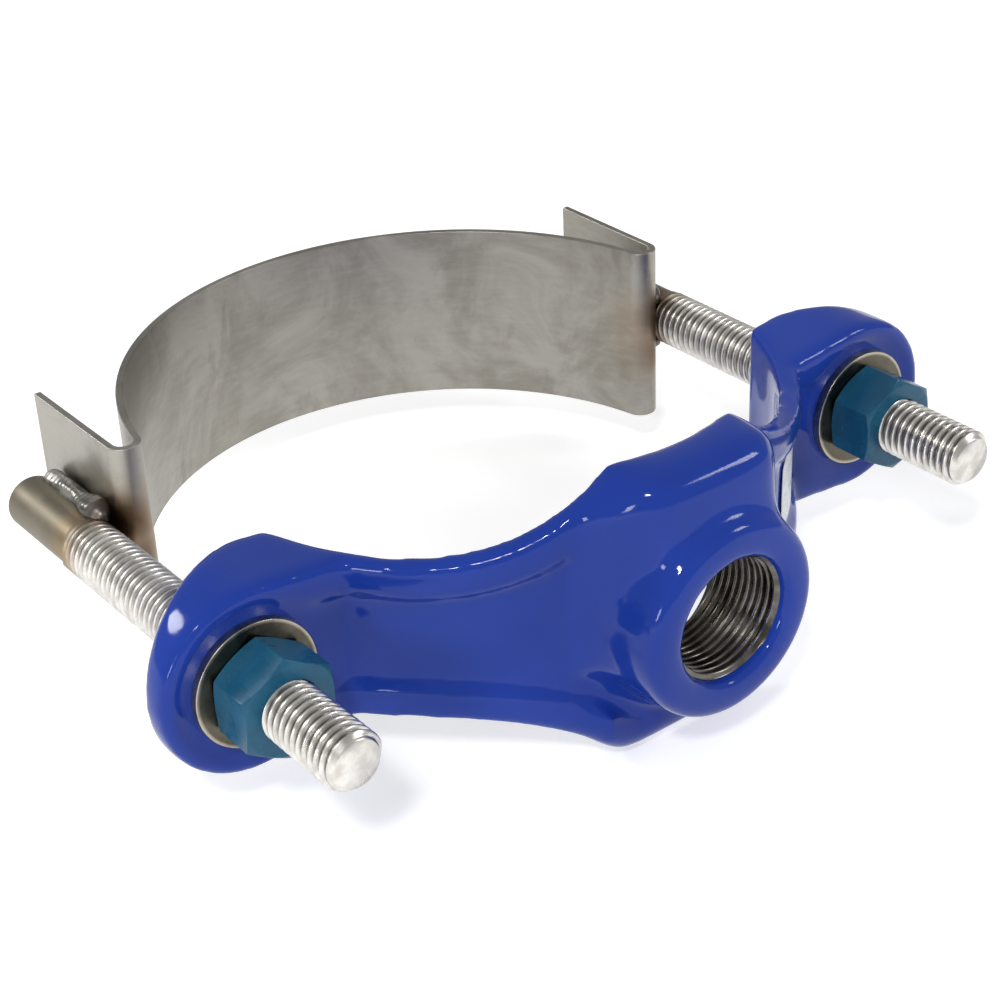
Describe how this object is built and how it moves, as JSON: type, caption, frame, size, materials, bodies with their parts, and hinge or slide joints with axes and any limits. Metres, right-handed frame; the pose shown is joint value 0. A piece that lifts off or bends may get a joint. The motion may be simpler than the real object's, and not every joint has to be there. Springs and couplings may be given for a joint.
{
  "type": "tapping saddle",
  "caption": "Cast saddle with a threaded outlet, clamped round a pipe by a flat strap with folded ears, welded threaded studs, washers and nuts.",
  "frame": {"origin": "on the axis of the strap's circle, which is the pipe's axis, half-way up the strap", "axes": "+Z along the pipe, +Y from the outlet through the pipe to the back of the strap, +X from the left stud to the right stud"},
  "size_m": [0.25, 0.2035, 0.083],
  "materials": {
    "blue_coating": "glossy fused epoxy coating over ductile iron",
    "gasket_rubber": "matt",
    "strap_steel": "mill-finish stainless sheet, heat-tinted at the welds",
    "stud_steel": "rolled stainless, straw heat tint at the welded end",
    "weld_metal": "as welded",
    "washer_steel": "dull stainless",
    "nut_coating": "semi-gloss anti-seize coating"
  },
  "bodies": {
    "strap": {"strap_band": "strap_steel", "stud_left": "stud_steel", "stud_right": "stud_steel", "weld_left_upper": "weld_metal", "weld_left_lower": "weld_metal", "weld_right_upper": "weld_metal", "weld_right_lower": "weld_metal"},
    "saddle": {"saddle_body": "blue_coating", "outlet_gasket": "gasket_rubber"},
    "washer_left": {"washer_left": "washer_steel"},
    "nut_left": {"nut_left": "nut_coating"},
    "washer_right": {"washer_right": "washer_steel"},
    "nut_right": {"nut_right": "nut_coating"}
  },
  "joints": [
    {"name": "saddle_slide", "type": "slide", "parent": "strap", "child": "saddle", "axis": [0, 1, 0], "range_m": [0, 0.0092]},
    {"name": "washer_left_slide", "type": "slide", "parent": "strap", "child": "washer_left", "axis": [0, -1, 0], "range_m": [0, 0.024]},
    {"name": "nut_left_turn", "type": "hinge", "parent": "washer_left", "child": "nut_left", "pos_m": [-0.1, -0.0624, 0], "axis": [0, -1, 0], "range_deg": [0, 3760]},
    {"name": "washer_right_slide", "type": "slide", "parent": "strap", "child": "washer_right", "axis": [0, -1, 0], "range_m": [0, 0.024]},
    {"name": "nut_right_turn", "type": "hinge", "parent": "washer_right", "child": "nut_right", "pos_m": [0.1, -0.0624, 0], "axis": [0, -1, 0], "range_deg": [0, 3760]}
  ],
  "couplings": [
    {"joint": "nut_left_turn", "follows": "washer_left_slide", "rad_per_m": 2721.1},
    {"joint": "nut_right_turn", "follows": "washer_right_slide", "rad_per_m": 2721.1}
  ]
}
